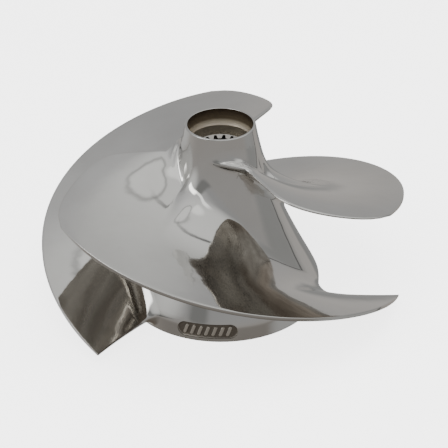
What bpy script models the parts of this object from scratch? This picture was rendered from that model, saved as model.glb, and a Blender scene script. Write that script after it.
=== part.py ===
"""Three-bladed stainless impeller of a personal-watercraft jet pump, standing nose up on its aft rim.

The rotor turns about +Z. The drive shaft enters the splined bore from the nose, and the pump shaft
screws into the threaded boss from the aft side. The origin is the centre of the aft rim's plane.
"""

import math

import bmesh
import bpy
import numpy as np

# Driving dimensions, in metres and degrees.
ROTOR_RADIUS = 0.0778
ROTOR_HEIGHT = 0.0819
SKIRT_RADIUS = 0.0424
NOSE_RADIUS = 0.0149
MOUTH_RADIUS = 0.0138
BLADE_COUNT = 3
FIRST_BLADE_AZIMUTH = 60.0
BLADE_WRAP = 168.5
WALL = 0.0034
GAP = 0.0003

# Hub outline: an upright skirt, then one cubic curve that sweeps in to the nose.
SKIRT_TOP = 0.0071
SHOULDER_HANDLE = 0.0109
FLARE_HANDLE = (0.0210, 0.0432)

# Heights at which the hub is divided.
SKIRT_SPLIT = 0.0100
COLLAR_SPLIT = 0.0622

# Bores inside the nose.
COLLAR_BORE_RADIUS = 0.0130
MOUTH_FLOOR = 0.0763
LEDGE_HEIGHT = 0.0743
SLEEVE_RADIUS = 0.0127
SLEEVE_TOP = 0.0708
LEAD_IN_RADIUS = 0.0112
LEAD_IN_DEPTH = 0.0012
SPLINE_TEETH = 18
SPLINE_MAJOR_RADIUS = 0.0109
SPLINE_MINOR_RADIUS = 0.0097
SPLINE_PHASE = 12.0
TOOTH_FOOT_SHARE = 0.36
TOOTH_TIP_SHARE = 0.22

# Threaded boss at the aft end.
BOSS_RADIUS = 0.0170
BOSS_BOTTOM = 0.0033
BOSS_TOP = 0.0317
BOSS_SHOULDER_RADIUS = 0.0150
THREAD_RADIUS = 0.0102
THREAD_TOP = 0.0275
COUNTERBORE_RADIUS = 0.0126
COUNTERBORE_TOP = 0.0060
SHAFT_STOP_RADIUS = 0.0065

# Webs between the core and the hub shell.
WEB_BOTTOM = 0.0080
WEB_TOP = 0.0540
WEB_THICKNESS = 0.0035
WEB_CHAMFER = 0.0040
WEB_OFFSET = 30.0

# Loose pieces.
DAMPER_RADIUS = 0.0089
DAMPER_HOLE_RADIUS = 0.0030
DAMPER_LENGTH = 0.0120
WASHER_INNER_RADIUS = 0.0118
WASHER_OUTER_RADIUS = 0.0160
WASHER_BOTTOM = 0.0009
O_RING_RADIUS = 0.01145
O_RING_SECTION = 0.00095
O_RING_HEIGHT = 0.0049

# Name badge in a shallow pocket of the skirt.
BADGE_AZIMUTH = -99.0
BADGE_HEIGHT = 0.0052
BADGE_LENGTH = 0.0262
BADGE_WIDTH = 0.0068
POCKET_DEPTH = 0.0015
BADGE_THICKNESS = 0.0006

# Blade section: full thickness, thinning from the root to the rim and towards both edges.
BLADE_ROOT_THICKNESS = 0.0042
BLADE_RIM_THICKNESS = 0.0017
EDGE_THICKNESS_RATIO = 0.45
EDGE_TAPER = 0.12
BLADE_ROWS = 9
BLADE_COLUMNS = 30
BLADE_OVERRUN = 0.0005
BLADE_BURIAL = 0.0030

# Blade surface: heights of the middle surface along the rim, as powers of the share of the wrap.
RIM_START_HEIGHT = 0.0660
RIM_FALL = (0.0427, 0.0088, 0.0094)
RAKE_AT_START = 0.0055
RAKE_FALL = 0.0149
TRAILING_SKEW = 10.1

# Leading edge: radial near the hub, raked back beyond the knee, rounded off at the rim.
KNEE_RADIUS = 0.0489
KNEE_SOFTNESS = 0.0025
EDGE_RAKE_PER_METRE = 996.0
CORNER_START = 0.060
CORNER_SWEEP = 4.0

# Four oil grooves across the thrust washer.
GROOVE_COUNT = 4
GROOVE_SIZE = (0.010, 0.0022, 0.0012)

# Cutters run past the part they cut by the margin; the badge's outline reaches through the wall.
CUTTER_MARGIN = 0.005
PILL_DEPTH = 0.020

HUB_STEPS = 48
BORE_STEPS = 36
RIM_STEPS = 96

# Finish: label, colour, roughness, metallic value.
POLISHED = ("polished_steel", (0.62, 0.61, 0.59), 0.08, 1.0)
MACHINED = ("machined_steel", (0.50, 0.48, 0.45), 0.30, 1.0)
ROUGH_CAST = ("cast_steel", (0.36, 0.35, 0.33), 0.55, 1.0)
DARK_CAST = ("darkened_steel", (0.20, 0.18, 0.16), 0.50, 1.0)
BRONZE = ("bronze", (0.48, 0.33, 0.16), 0.35, 1.0)
RUBBER = ("rubber", (0.03, 0.03, 0.028), 0.65, 0.0)


def clear_scene():
    for obj in list(bpy.data.objects):
        bpy.data.objects.remove(obj, do_unlink=True)


def new_collection(name):
    collection = bpy.data.collections.new(name)
    bpy.context.scene.collection.children.link(collection)
    return collection


def make_material(name, colour, roughness, metallic):
    material = bpy.data.materials.new(name)
    material.use_nodes = True
    shader = material.node_tree.nodes["Principled BSDF"]
    shader.inputs["Base Color"].default_value = (*colour, 1.0)
    shader.inputs["Roughness"].default_value = roughness
    shader.inputs["Metallic"].default_value = metallic
    return material


def move_to(obj, collection):
    for holder in list(obj.users_collection):
        holder.objects.unlink(obj)
    collection.objects.link(obj)


def new_object(name, data, collection):
    obj = bpy.data.objects.new(name, data)
    collection.objects.link(obj)
    return obj


def finish_part(obj, finish):
    """Gives a part a material of its own."""
    obj.data.materials.append(make_material(f"{obj.name}_{finish[0]}", *finish[1:]))
    return obj


def as_cutter(obj):
    obj.hide_render = True
    obj.display_type = "WIRE"
    return obj


def cut(obj, cutter, operation="DIFFERENCE"):
    boolean = obj.modifiers.new(f"{operation.lower()}_{cutter.name}", "BOOLEAN")
    boolean.operation = operation
    boolean.solver = "EXACT"
    boolean.object = cutter


def turned(name, outline, collection, steps=HUB_STEPS, closed=True):
    """A shape turned about Z from an outline, listed down its outer side and up its inner side.

    A ring's outline is closed. A solid's outline is open and starts and ends on the axis.
    """
    count = len(outline)
    edges = [(index, index + 1) for index in range(count - 1)]
    if closed:
        edges.append((count - 1, 0))
    mesh = bpy.data.meshes.new(name)
    mesh.from_pydata([(radius, 0.0, height) for radius, height in outline], edges, [])
    obj = new_object(name, mesh, collection)
    screw = obj.modifiers.new("turn", "SCREW")
    screw.axis = "Z"
    screw.angle = math.tau
    screw.steps = steps
    screw.render_steps = steps
    screw.use_merge_vertices = True
    screw.merge_threshold = 0.00001
    return obj


def flat_curve(name, outlines, thickness, collection):
    """A flat curve object: closed outlines in its XY plane, filled and extruded to a thickness."""
    curve = bpy.data.curves.new(name, "CURVE")
    curve.dimensions = "2D"
    curve.fill_mode = "BOTH"
    curve.extrude = thickness / 2
    for outline in outlines:
        spline = curve.splines.new("POLY")
        spline.points.add(len(outline) - 1)
        for point, (x, y) in zip(spline.points, outline):
            point.co = (x, y, 0.0, 1.0)
        spline.use_cyclic_u = True
    return new_object(name, curve, collection)


def curve_as_mesh(obj, collection):
    """Replaces a curve by its welded mesh, which a Boolean can cut."""
    bpy.context.view_layer.update()
    name = obj.name
    graph = bpy.context.evaluated_depsgraph_get()
    mesh = bpy.data.meshes.new_from_object(obj.evaluated_get(graph))
    welded = bmesh.new()
    welded.from_mesh(mesh)
    bmesh.ops.remove_doubles(welded, verts=welded.verts, dist=0.000005)
    bmesh.ops.recalc_face_normals(welded, faces=welded.faces)
    welded.to_mesh(mesh)
    welded.free()
    matrix = obj.matrix_world.copy()
    bpy.data.objects.remove(obj, do_unlink=True)
    solid = new_object(name, mesh, collection)
    solid.matrix_world = matrix
    return solid


def circle(radius, count, start=0.0):
    """Points of a circle about the origin, anticlockwise."""
    angles = [start + math.tau * index / count for index in range(count)]
    return [(radius * math.cos(angle), radius * math.sin(angle)) for angle in angles]


# Hub shape


def hub_curve_point(share):
    """(radius, height) on the curved run of the hub, from the skirt at 0 to the nose at 1."""
    ends = (
        (SKIRT_RADIUS, SKIRT_TOP),
        (SKIRT_RADIUS, SHOULDER_HANDLE),
        FLARE_HANDLE,
        (NOSE_RADIUS, ROTOR_HEIGHT),
    )
    rest = 1.0 - share
    weights = (rest**3, 3 * rest**2 * share, 3 * rest * share**2, share**3)
    radius = sum(weight * end[0] for weight, end in zip(weights, ends))
    height = sum(weight * end[1] for weight, end in zip(weights, ends))
    return radius, height


HUB_SAMPLES = [hub_curve_point(share) for share in np.linspace(0.0, 1.0, 200)]
HUB_SAMPLE_RADII = [radius for radius, height in HUB_SAMPLES]
HUB_SAMPLE_HEIGHTS = [height for radius, height in HUB_SAMPLES]


def hub_radius(height):
    """Outer radius of the hub at a height, upright below the skirt's top."""
    return float(np.interp(height, HUB_SAMPLE_HEIGHTS, HUB_SAMPLE_RADII))


def hub_run(top, bottom, count, inset=0.0):
    """Points down the hub's outside between two heights, moved in by an inset."""
    heights = np.linspace(top, bottom, count)
    return [(hub_radius(height) - inset, float(height)) for height in heights]


def make_nose_collar(parts):
    outline = hub_run(ROTOR_HEIGHT, COLLAR_SPLIT + GAP / 2, 6)
    outline += [
        (COLLAR_BORE_RADIUS, COLLAR_SPLIT + GAP / 2),
        (COLLAR_BORE_RADIUS, LEDGE_HEIGHT),
        (MOUTH_RADIUS, MOUTH_FLOOR),
        (MOUTH_RADIUS, ROTOR_HEIGHT),
    ]
    return finish_part(turned("nose_collar", outline, parts), POLISHED)


def make_hub_cone(parts):
    top = COLLAR_SPLIT - GAP / 2
    bottom = SKIRT_SPLIT + GAP / 2
    outline = hub_run(top, bottom, 11)
    outline += reversed(hub_run(top, bottom, 8, WALL))
    return finish_part(turned("hub_cone", outline, parts), POLISHED)


def make_aft_skirt(parts, pocket):
    top = SKIRT_SPLIT - GAP / 2
    outline = [
        (hub_radius(top), top),
        (SKIRT_RADIUS, SKIRT_TOP),
        (SKIRT_RADIUS, 0.0),
        (SKIRT_RADIUS - WALL, 0.0),
        (SKIRT_RADIUS - WALL, SKIRT_TOP),
        (hub_radius(top) - WALL, top),
    ]
    skirt = finish_part(turned("aft_skirt", outline, parts), POLISHED)
    cut(skirt, pocket)
    return skirt


# Name badge


def pill_outline(length, width, arc_points=8):
    """A bar with half-round ends, centred on the origin."""
    radius = width / 2
    centre = length / 2 - radius
    outline = []
    for side, start in ((1, -math.pi / 2), (-1, math.pi / 2)):
        for index in range(arc_points + 1):
            angle = start + math.pi * index / arc_points
            outline.append((side * centre + radius * math.cos(angle), radius * math.sin(angle)))
    return outline


def make_pill(name, shrink, cutters):
    """A pill-shaped bar that points outwards through the skirt at the badge's place."""
    outline = pill_outline(BADGE_LENGTH - 2 * shrink, BADGE_WIDTH - 2 * shrink)
    pill = curve_as_mesh(flat_curve(name, [outline], PILL_DEPTH, cutters), cutters)
    azimuth = math.radians(BADGE_AZIMUTH)
    pill.location = (
        SKIRT_RADIUS * math.cos(azimuth),
        SKIRT_RADIUS * math.sin(azimuth),
        BADGE_HEIGHT,
    )
    pill.rotation_euler = (math.pi / 2, 0.0, azimuth + math.pi / 2)
    return as_cutter(pill)


def badge_band(name, inner_depth, outer_depth, collection):
    """A ring of the skirt's wall between two depths below its surface."""
    top = BADGE_HEIGHT + BADGE_WIDTH
    bottom = BADGE_HEIGHT - BADGE_WIDTH
    outline = [
        (SKIRT_RADIUS - outer_depth, top),
        (SKIRT_RADIUS - outer_depth, bottom),
        (SKIRT_RADIUS - inner_depth, bottom),
        (SKIRT_RADIUS - inner_depth, top),
    ]
    return turned(name, outline, collection, RIM_STEPS)


def make_badge(parts, cutters):
    """The badge plate and the pocket cutter that it sits in."""
    pocket = as_cutter(badge_band("badge_pocket", POCKET_DEPTH, -CUTTER_MARGIN, cutters))
    cut(pocket, make_pill("pocket_outline", 0.0, cutters), "INTERSECT")
    inner_depth = POCKET_DEPTH - GAP
    plate = badge_band("name_badge", inner_depth, inner_depth - BADGE_THICKNESS, parts)
    cut(plate, make_pill("plate_outline", GAP, cutters), "INTERSECT")
    finish_part(plate, DARK_CAST)
    return pocket


# Core: splined sleeve, threaded boss and webs


def blade_azimuth(number):
    """Direction of a blade's leading root about the axis."""
    return FIRST_BLADE_AZIMUTH + (number - 1) * 360.0 / BLADE_COUNT


def spline_outline():
    """The toothed bore: each tooth tapers from a wide foot to a narrower tip, nearer the axis."""
    pitch = math.tau / SPLINE_TEETH
    outline = []
    for tooth in range(SPLINE_TEETH):
        for radius, share in (
            (SPLINE_MAJOR_RADIUS, -TOOTH_FOOT_SHARE),
            (SPLINE_MINOR_RADIUS, -TOOTH_TIP_SHARE),
            (SPLINE_MINOR_RADIUS, TOOTH_TIP_SHARE),
            (SPLINE_MAJOR_RADIUS, TOOTH_FOOT_SHARE),
        ):
            angle = pitch * (tooth + share) + math.radians(SPLINE_PHASE)
            outline.append((radius * math.cos(angle), radius * math.sin(angle)))
    return outline


def make_spline_sleeve(parts, cutters):
    bottom = BOSS_TOP + GAP
    length = SLEEVE_TOP - bottom
    outlines = [circle(SLEEVE_RADIUS, HUB_STEPS), spline_outline()]
    sleeve = curve_as_mesh(flat_curve("spline_sleeve", outlines, length, parts), parts)
    sleeve.location.z = bottom + length / 2
    reach = LEAD_IN_RADIUS - SPLINE_MINOR_RADIUS + GAP
    cone = [
        (0.0, SLEEVE_TOP + LEAD_IN_DEPTH),
        (LEAD_IN_RADIUS + reach, SLEEVE_TOP + LEAD_IN_DEPTH),
        (LEAD_IN_RADIUS, SLEEVE_TOP),
        (LEAD_IN_RADIUS - reach, SLEEVE_TOP - LEAD_IN_DEPTH),
        (0.0, SLEEVE_TOP - LEAD_IN_DEPTH),
    ]
    lead_in = turned("spline_lead_in", cone, cutters, closed=False)
    cut(sleeve, as_cutter(lead_in))
    return finish_part(sleeve, MACHINED)


def make_thread_boss(parts):
    outline = [
        (BOSS_SHOULDER_RADIUS, BOSS_TOP),
        (BOSS_RADIUS, BOSS_TOP - (BOSS_RADIUS - BOSS_SHOULDER_RADIUS)),
        (BOSS_RADIUS, BOSS_BOTTOM),
        (COUNTERBORE_RADIUS, BOSS_BOTTOM),
        (COUNTERBORE_RADIUS, COUNTERBORE_TOP),
        (THREAD_RADIUS, COUNTERBORE_TOP),
        (THREAD_RADIUS, THREAD_TOP),
        (SHAFT_STOP_RADIUS, THREAD_TOP),
        (SHAFT_STOP_RADIUS, BOSS_TOP),
    ]
    return finish_part(turned("thread_boss", outline, parts), MACHINED)


def make_web(number, parts):
    """A flat rib from the core out to the inside of the hub shell."""
    inset = WALL + GAP
    boss_side = BOSS_RADIUS + GAP
    sleeve_side = SLEEVE_RADIUS + GAP
    outline = [
        (boss_side, WEB_BOTTOM),
        (hub_radius(WEB_BOTTOM) - inset, WEB_BOTTOM),
    ]
    outline += reversed(hub_run(WEB_TOP, WEB_BOTTOM + WEB_CHAMFER, 8, inset))
    outline += [
        (sleeve_side, WEB_TOP),
        (sleeve_side, BOSS_TOP + GAP),
        (boss_side, BOSS_TOP + GAP),
    ]
    web = flat_curve(f"web_{number}", [outline], WEB_THICKNESS, parts)
    web.rotation_euler = (math.pi / 2, 0.0, math.radians(blade_azimuth(number) + WEB_OFFSET))
    return finish_part(web, ROUGH_CAST)


# Blades


def edge_sweep(radius):
    """Degrees by which the leading edge trails its root: radial inboard, raked back, round at the rim."""
    raked = KNEE_SOFTNESS * np.logaddexp(0.0, (radius - KNEE_RADIUS) / KNEE_SOFTNESS)
    corner = max(0.0, (radius - CORNER_START) / (ROTOR_RADIUS - CORNER_START)) ** 8
    return float(EDGE_RAKE_PER_METRE * raked + CORNER_SWEEP * corner)


def inward_share(radius):
    """Distance in from the rim as a share of the rotor's radius."""
    return (ROTOR_RADIUS - radius) / ROTOR_RADIUS


def blade_end(radius):
    """Degrees from the leading edge's root to the trailing edge."""
    return BLADE_WRAP - TRAILING_SKEW * inward_share(radius)


def blade_height(degrees, radius):
    """Height of the blade's middle surface: its pitch grows towards the trailing edge."""
    wrap = degrees / BLADE_WRAP
    fall = sum(part * wrap**power for power, part in enumerate(RIM_FALL, start=1))
    rake = RAKE_AT_START - RAKE_FALL * wrap
    return RIM_START_HEIGHT - fall + rake * inward_share(radius)


def blade_point(share, rise):
    """A point of the middle surface: share runs from leading to trailing edge, rise from root to rim."""
    root = SKIRT_RADIUS
    for _ in range(30):
        start = edge_sweep(root)
        degrees = start + share * (blade_end(root) - start)
        root = hub_radius(blade_height(degrees, root)) - BLADE_BURIAL
    radius = root + rise * (ROTOR_RADIUS + BLADE_OVERRUN - root)
    start = edge_sweep(radius)
    degrees = start + share * (blade_end(radius) - start)
    angle = math.radians(degrees)
    height = blade_height(degrees, radius)
    return radius * math.cos(angle), radius * math.sin(angle), height


def thickness_ratio(share, rise):
    """Blade thickness as a share of the root's, thinner at the rim and at both edges."""
    rim_ratio = BLADE_RIM_THICKNESS / BLADE_ROOT_THICKNESS
    along = 1.0 + (rim_ratio - 1.0) * rise
    from_edge = min(share, 1.0 - share) / EDGE_TAPER
    ease = 1.0 - (1.0 - min(1.0, from_edge)) ** 2
    return along * (EDGE_THICKNESS_RATIO + (1.0 - EDGE_THICKNESS_RATIO) * ease)


def make_blade_mesh():
    """The middle surface as an open grid, with its shares for the thickness."""
    bm = bmesh.new()
    layer = bm.verts.layers.deform.new()
    rows = []
    for row in range(BLADE_ROWS + 1):
        # Rows lie closer together towards the rim.
        step = row / BLADE_ROWS
        rise = step * (1.5 - 0.5 * step)
        line = []
        for column in range(BLADE_COLUMNS + 1):
            share = column / BLADE_COLUMNS
            vert = bm.verts.new(blade_point(share, rise))
            vert[layer][0] = thickness_ratio(share, rise)
            line.append(vert)
        rows.append(line)
    for low, high in zip(rows, rows[1:]):
        for column in range(BLADE_COLUMNS):
            bm.faces.new((low[column], high[column], high[column + 1], low[column + 1]))
    mesh = bpy.data.meshes.new("blade")
    bm.to_mesh(mesh)
    bm.free()
    mesh.shade_smooth()
    return mesh


def make_blade(number, parts, hub_envelope, rim_envelope):
    blade = new_object(f"blade_{number}", make_blade_mesh(), parts)
    blade.vertex_groups.new(name="thickness")
    blade.rotation_euler.z = math.radians(blade_azimuth(number))
    solidify = blade.modifiers.new("thickness", "SOLIDIFY")
    solidify.thickness = BLADE_ROOT_THICKNESS
    solidify.offset = 0.0
    solidify.vertex_group = "thickness"
    cut(blade, rim_envelope, "INTERSECT")
    cut(blade, hub_envelope)
    return finish_part(blade, POLISHED)


def make_hub_envelope(cutters):
    """The hub's outside grown by the gap, which trims the blade roots."""
    top = ROTOR_HEIGHT + CUTTER_MARGIN
    outline = [(0.0, top), (NOSE_RADIUS + GAP, top)]
    outline += hub_run(ROTOR_HEIGHT, SKIRT_TOP, 22, -GAP)
    outline += [(SKIRT_RADIUS + GAP, -CUTTER_MARGIN), (0.0, -CUTTER_MARGIN)]
    return as_cutter(turned("hub_envelope", outline, cutters, closed=False))


def make_rim_envelope(cutters):
    """The cylinder to which the blades' outer edges are turned."""
    bpy.ops.mesh.primitive_cylinder_add(
        vertices=RIM_STEPS,
        radius=ROTOR_RADIUS,
        depth=2 * ROTOR_HEIGHT,
        location=(0.0, 0.0, ROTOR_HEIGHT / 2),
    )
    envelope = bpy.context.active_object
    envelope.name = "rim_envelope"
    move_to(envelope, cutters)
    return as_cutter(envelope)


# Loose pieces


def make_drive_damper(parts):
    """The rubber plug at the foot of the splined bore, on which the drive shaft's end bears."""
    bottom = BOSS_TOP + GAP
    top = bottom + DAMPER_LENGTH
    chamfer = 0.001
    outline = [
        (DAMPER_RADIUS - chamfer, top),
        (DAMPER_RADIUS, top - chamfer),
        (DAMPER_RADIUS, bottom + chamfer),
        (DAMPER_RADIUS - chamfer, bottom),
        (DAMPER_HOLE_RADIUS, bottom),
        (DAMPER_HOLE_RADIUS, top),
    ]
    return finish_part(turned("drive_damper", outline, parts, BORE_STEPS), RUBBER)


def make_boss_o_ring(parts):
    bpy.ops.mesh.primitive_torus_add(
        major_segments=HUB_STEPS,
        minor_segments=10,
        major_radius=O_RING_RADIUS,
        minor_radius=O_RING_SECTION,
        location=(0.0, 0.0, O_RING_HEIGHT),
    )
    ring = bpy.context.active_object
    ring.name = "boss_o_ring"
    move_to(ring, parts)
    ring.data.shade_smooth()
    return finish_part(ring, RUBBER)


def make_thrust_washer(parts, cutters):
    """The bronze washer that stays with the pump while the rotor turns on it."""
    top = BOSS_BOTTOM - GAP
    chamfer = 0.0003
    outline = [
        (WASHER_OUTER_RADIUS, top),
        (WASHER_OUTER_RADIUS, WASHER_BOTTOM + chamfer),
        (WASHER_OUTER_RADIUS - chamfer, WASHER_BOTTOM),
        (WASHER_INNER_RADIUS + chamfer, WASHER_BOTTOM),
        (WASHER_INNER_RADIUS, WASHER_BOTTOM + chamfer),
        (WASHER_INNER_RADIUS, top),
    ]
    washer = finish_part(turned("thrust_washer", outline, parts, HUB_STEPS), BRONZE)
    middle = (WASHER_INNER_RADIUS + WASHER_OUTER_RADIUS) / 2
    for index in range(GROOVE_COUNT):
        azimuth = math.tau * (index + 0.5) / GROOVE_COUNT
        bpy.ops.mesh.primitive_cube_add(size=1.0)
        groove = bpy.context.active_object
        groove.name = f"washer_groove_{index + 1}"
        groove.scale = GROOVE_SIZE
        groove.location = (middle * math.cos(azimuth), middle * math.sin(azimuth), WASHER_BOTTOM)
        groove.rotation_euler.z = azimuth
        move_to(groove, cutters)
        cut(washer, as_cutter(groove))
    return washer


clear_scene()
part_collection = new_collection("jet_pump_impeller")
cutter_collection = new_collection("cutters")
axis = bpy.data.objects.new("rotor_axis", None)
part_collection.objects.link(axis)

badge_pocket = make_badge(part_collection, cutter_collection)
make_nose_collar(part_collection)
make_hub_cone(part_collection)
make_aft_skirt(part_collection, badge_pocket)
make_spline_sleeve(part_collection, cutter_collection)
make_thread_boss(part_collection)
trim_to_hub = make_hub_envelope(cutter_collection)
trim_to_rim = make_rim_envelope(cutter_collection)
for position in range(1, BLADE_COUNT + 1):
    make_blade(position, part_collection, trim_to_hub, trim_to_rim)
    make_web(position, part_collection)
make_drive_damper(part_collection)
make_boss_o_ring(part_collection)
make_thrust_washer(part_collection, cutter_collection)
for part in part_collection.objects:
    if part != axis:
        part.parent = axis
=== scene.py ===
"""Looks of a mirror-polished three-bladed jet-pump impeller, standing nose up on a pale floor.

The rotor is one casting. Its hub and blades are smooth skins that meet without a step, with the
rolled fillets that a casting has where each blade grows out of the hub.
"""

import math

import bmesh
import bpy
import numpy as np
from mathutils import Matrix, Vector


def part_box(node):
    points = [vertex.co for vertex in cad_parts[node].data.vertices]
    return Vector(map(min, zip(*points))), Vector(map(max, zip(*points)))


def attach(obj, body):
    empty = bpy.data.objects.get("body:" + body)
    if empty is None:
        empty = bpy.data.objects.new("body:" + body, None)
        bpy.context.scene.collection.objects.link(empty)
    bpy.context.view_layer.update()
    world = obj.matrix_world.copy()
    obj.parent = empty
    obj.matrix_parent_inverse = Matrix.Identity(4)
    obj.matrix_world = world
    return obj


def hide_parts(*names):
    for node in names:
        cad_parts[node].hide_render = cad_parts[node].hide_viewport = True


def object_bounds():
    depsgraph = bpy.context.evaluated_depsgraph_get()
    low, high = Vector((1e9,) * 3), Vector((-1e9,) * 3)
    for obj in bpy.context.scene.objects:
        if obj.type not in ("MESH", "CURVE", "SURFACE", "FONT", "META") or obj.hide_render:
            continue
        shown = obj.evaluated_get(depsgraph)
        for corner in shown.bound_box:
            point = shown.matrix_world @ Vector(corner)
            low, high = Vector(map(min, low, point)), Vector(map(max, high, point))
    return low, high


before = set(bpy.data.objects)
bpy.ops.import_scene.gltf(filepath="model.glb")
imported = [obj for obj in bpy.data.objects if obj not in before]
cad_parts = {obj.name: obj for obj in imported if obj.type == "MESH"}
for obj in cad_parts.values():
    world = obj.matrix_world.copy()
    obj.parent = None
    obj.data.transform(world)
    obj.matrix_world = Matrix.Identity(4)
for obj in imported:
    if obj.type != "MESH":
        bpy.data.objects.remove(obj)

CAD_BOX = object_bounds()
MM = 0.001

# Sizes read from the CAD parts.
ROTOR_RADIUS = (CAD_BOX[1].x - CAD_BOX[0].x) / 2
ROTOR_HEIGHT = CAD_BOX[1].z
SKIRT_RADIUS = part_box("aft_skirt")[1].x
COLLAR_SPLIT = (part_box("nose_collar")[0].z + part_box("hub_cone")[1].z) / 2
SKIRT_SPLIT = (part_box("aft_skirt")[1].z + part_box("hub_cone")[0].z) / 2
SLEEVE_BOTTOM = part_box("spline_sleeve")[0].z
SLEEVE_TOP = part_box("spline_sleeve")[1].z
SLEEVE_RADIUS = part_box("spline_sleeve")[1].x
BOSS_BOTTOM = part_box("thread_boss")[0].z
BOSS_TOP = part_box("thread_boss")[1].z
BOSS_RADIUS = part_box("thread_boss")[1].x
WASHER_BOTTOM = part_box("thrust_washer")[0].z
WASHER_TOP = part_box("thrust_washer")[1].z
WASHER_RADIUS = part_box("thrust_washer")[1].x
DAMPER_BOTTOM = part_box("drive_damper")[0].z
DAMPER_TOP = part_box("drive_damper")[1].z
DAMPER_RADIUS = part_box("drive_damper")[1].x

# Hub outline above the skirt: one cubic curve that sweeps in to the nose.
NOSE_RADIUS = 14.9 * MM
SKIRT_TOP = 7.1 * MM
SHOULDER_HANDLE = 10.9 * MM
FLARE_HANDLE = (21.0 * MM, 43.2 * MM)
HUB_WALL = 3.4 * MM
HUB_STEPS = 240

# Bores in the nose.
MOUTH_RADIUS = 13.8 * MM
COLLAR_BORE_RADIUS = 13.0 * MM
MOUTH_FLOOR = 76.3 * MM
LEDGE_HEIGHT = 74.3 * MM

# Blades. Rim heights fall by powers of the share of the wrap.
BLADE_COUNT = 3
FIRST_BLADE_AZIMUTH = 60.0
BLADE_WRAP = 168.5
TRAILING_SKEW = 10.1
RIM_START_HEIGHT = 66.0 * MM
RIM_FALL = (42.7 * MM, 8.8 * MM, 9.4 * MM)
RAKE_AT_START = 5.5 * MM
RAKE_FALL = 14.9 * MM
ROOT_THICKNESS = 4.2 * MM
RIM_THICKNESS = 1.7 * MM
EDGE_THICKNESS_RATIO = 0.45
EDGE_TAPER = 0.12
EDGE_ROUND_LENGTH = 1.7
CHORD_SLANT = 1.05
RIM_ROUNDING = 0.36

# Leading edge: radial near the hub, raked back beyond the knee, rounded off at the rim.
KNEE_RADIUS = 48.9 * MM
KNEE_SOFTNESS = 2.5 * MM
EDGE_RAKE = 0.996 / MM  # degrees for each unit of radius
CORNER_START = 60.0 * MM
CORNER_SWEEP = 4.0

# Ridge by which the leading edge fades into the hub.
LEADING_ROOT_HEIGHT = 70.0 * MM
RIDGE_LENGTH = 11.0 * MM
RIDGE_RISE = 5.5 * MM
RIDGE_SPAN = 0.08
RIDGE_THINNING = 0.6
RIDGE_SOFTNESS = 6.0
RIDGE_LEVELLING = 0.44

# Root fillets: size at the leading edge, what they gain along the root, what they lose at its end.
FILLET_BELOW = (1.6 * MM, 2.4 * MM, 0.8 * MM)
FILLET_UP_HUB = (1.8 * MM, 11.2 * MM, 6.0 * MM)
FILLET_HOLLOW = (1.8 * MM, 25.0 * MM, 19.0 * MM)
LEADING_FILLET = 1.5 * MM
TRAILING_FILLET = 4.0 * MM
FILLET_GAIN = (4.0, 34.0)
HOLLOW_GAIN = (3.0, 61.0)
FILLET_LOSS = (95.0, 153.0)
FILLET_ROUNDNESS = 0.56
COLLAR_MARGIN = 3.5 * MM
RIM_MARGIN = 0.5 * MM
FOOT_SINK = 0.01 * MM
LEAST_BURIAL = 0.6 * MM
MOST_BURIAL = 2.2 * MM

# Mesh density of the blades.
NOSE_COLUMNS = 10
SPAN_COLUMNS = 96
FACE_ROWS = 30
FILLET_ROWS = 20
RIM_EDGE_ROWS = 4

# Badge.
BADGE_AZIMUTH = math.radians(-99.0)
BADGE_HEIGHT = 5.2 * MM
BADGE_LENGTH = 26.2 * MM
BADGE_WIDTH = 6.8 * MM
BADGE_SEAT_DEPTH = 1.5 * MM
BADGE_FLOOR_DEPTH = 0.75 * MM
BADGE_MARK_DEPTH = 0.12 * MM
MARK_COUNT = 7


# Mesh helpers


def new_piece(name, verts, faces, material, smooth_angle=None):
    """An object from points and faces, smooth but for edges sharper than smooth_angle."""
    mesh = bpy.data.meshes.new(name)
    mesh.from_pydata([tuple(point) for point in verts], [], faces)
    mesh.update()
    mesh.shade_smooth()
    if smooth_angle is not None:
        mesh.set_sharp_from_angle(angle=math.radians(smooth_angle))
    mesh.materials.append(material)
    obj = bpy.data.objects.new(name, mesh)
    bpy.context.scene.collection.objects.link(obj)
    return obj


def place(piece, body, slot, *nodes):
    """Says which body a piece rides on, and hides the CAD nodes that it stands for. Its material slot,
    slot, is not used.
    """
    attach(piece, body)
    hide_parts(*nodes)
    return piece


def turned(name, outline_at, angles, material, smooth_angle=28.0):
    """A ring about Z. outline_at(angle) is its closed outline there, down the outer side first."""
    verts = []
    for angle in angles:
        outline = outline_at(angle)
        for radius, height in outline:
            verts.append((radius * math.cos(angle), radius * math.sin(angle), height))
    count = len(outline)
    faces = []
    for step in range(len(angles)):
        here = step * count
        there = (step + 1) % len(angles) * count
        for index in range(count):
            after = (index + 1) % count
            faces.append((here + index, here + after, there + after, there + index))
    return new_piece(name, verts, faces, material, smooth_angle)


def lathe(name, outline, material, steps=HUB_STEPS, smooth_angle=28.0):
    """A closed outline of (radius, height) turned about Z, listed down its outer side."""
    angles = [math.tau * step / steps for step in range(steps)]
    return turned(name, lambda angle: outline, angles, material, smooth_angle)


def rounded(outline, radius, steps=4):
    """Rounds every corner of a closed outline."""
    result = []
    for index, corner in enumerate(outline):
        corner = np.array(corner)
        before = np.array(outline[index - 1]) - corner
        after = np.array(outline[(index + 1) % len(outline)]) - corner
        reach = min(radius, 0.45 * np.linalg.norm(before), 0.45 * np.linalg.norm(after))
        start = corner + before / np.linalg.norm(before) * reach
        end = corner + after / np.linalg.norm(after) * reach
        for share in np.linspace(0.0, 1.0, steps + 1):
            point = (1 - share) ** 2 * start + 2 * share * (1 - share) * corner + share**2 * end
            result.append(tuple(point))
    return result


# Hub shape


def cubic(start, start_handle, end_handle, end, share):
    """A point of a cubic curve."""
    rest = 1.0 - share
    near_start = rest**3 * start + 3 * rest**2 * share * start_handle
    return near_start + 3 * rest * share**2 * end_handle + share**3 * end


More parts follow.
